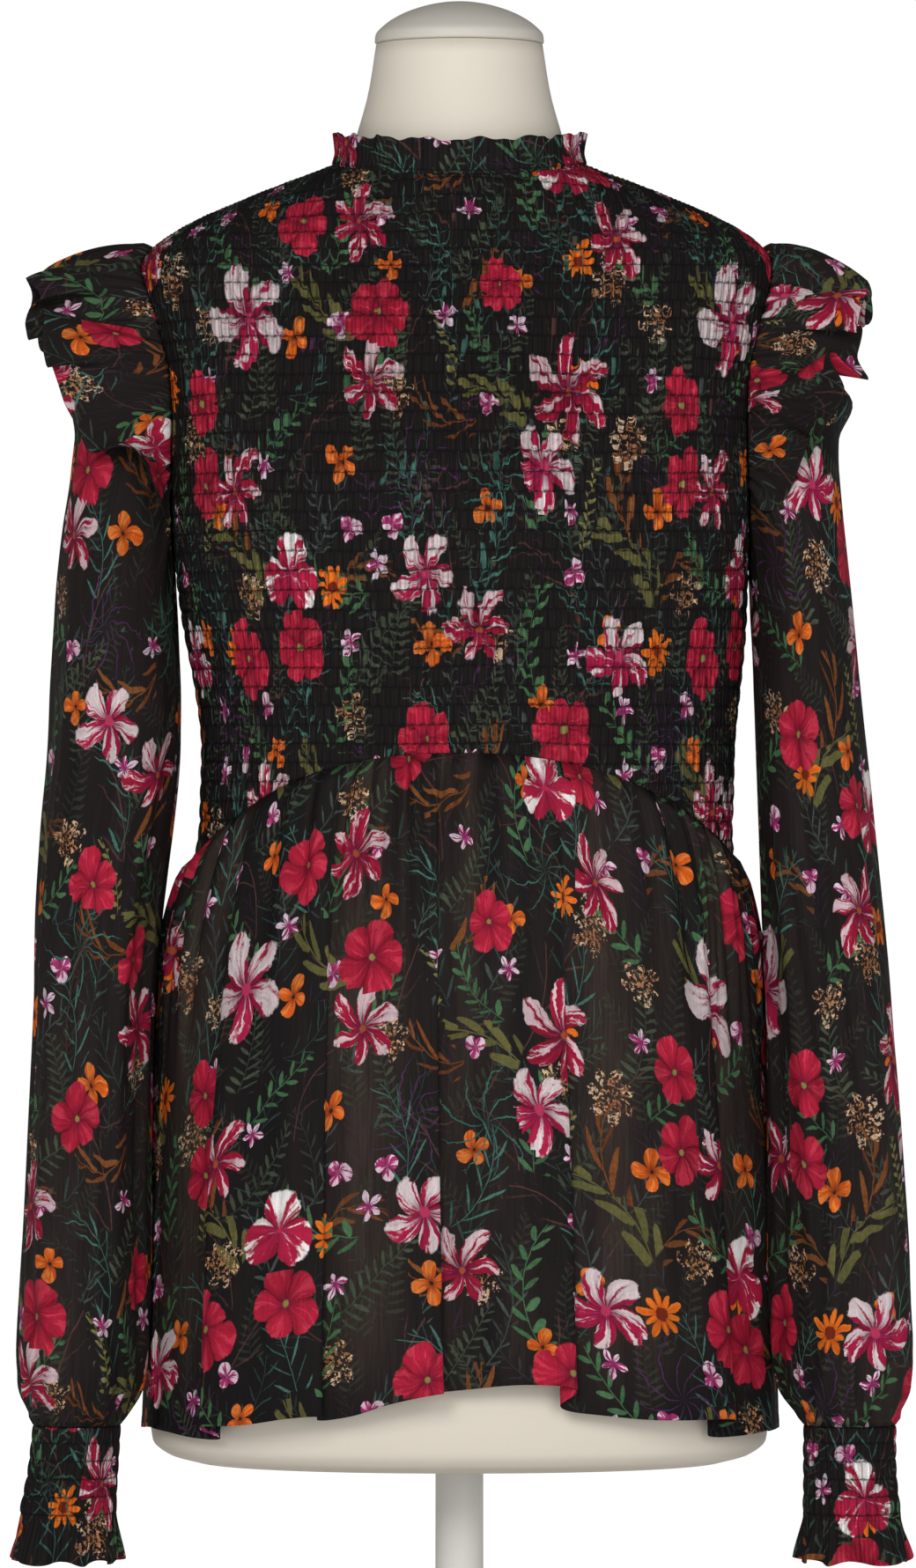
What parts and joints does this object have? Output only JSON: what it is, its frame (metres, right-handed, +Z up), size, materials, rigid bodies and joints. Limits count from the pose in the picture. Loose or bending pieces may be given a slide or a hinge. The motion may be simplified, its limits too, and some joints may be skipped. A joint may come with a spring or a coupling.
{
  "type": "blouse on a dress form",
  "caption": "Long-sleeved pull-on blouse with a shirred bodice, frilled neck and cuffs, shoulder ruffles and a gathered skirt part, worn by a limbless dress form on a round stand.",
  "frame": {"origin": "on the floor under the middle of the round stand plate", "axes": "+Z up through the neck, -Y out of the blouse's front, +X to the wearer's left"},
  "size_m": [0.4806, 0.3, 0.8458],
  "materials": {
    "bodice_chiffon": "matt crinkled chiffon, shirred, black with a flower print",
    "skirt_chiffon": "matt crinkled chiffon, slightly sheer, black with a flower print",
    "sleeve_chiffon": "matt crinkled chiffon, slightly sheer, black with a flower print",
    "cuff_chiffon": "matt crinkled chiffon, shirred, black with a flower print",
    "frill_chiffon": "matt crinkled chiffon, black with a flower print",
    "form_shell": "smooth cream, matt",
    "cap_shell": "smooth cream, satin",
    "stand_paint": "smooth off-white paint"
  },
  "bodies": {
    "root": {"bodice_front": "bodice_chiffon", "bodice_back": "bodice_chiffon", "collar": "frill_chiffon", "skirt_front": "skirt_chiffon", "skirt_back": "skirt_chiffon", "sleeve_right": "sleeve_chiffon", "sleeve_left": "sleeve_chiffon", "cuff_right": "cuff_chiffon", "cuff_left": "cuff_chiffon", "ruffle_right": "frill_chiffon", "ruffle_left": "frill_chiffon", "dress_form": "form_shell", "neck_cap": "cap_shell", "stand_post": "stand_paint", "stand_plate": "stand_paint"}
  },
  "joints": []
}
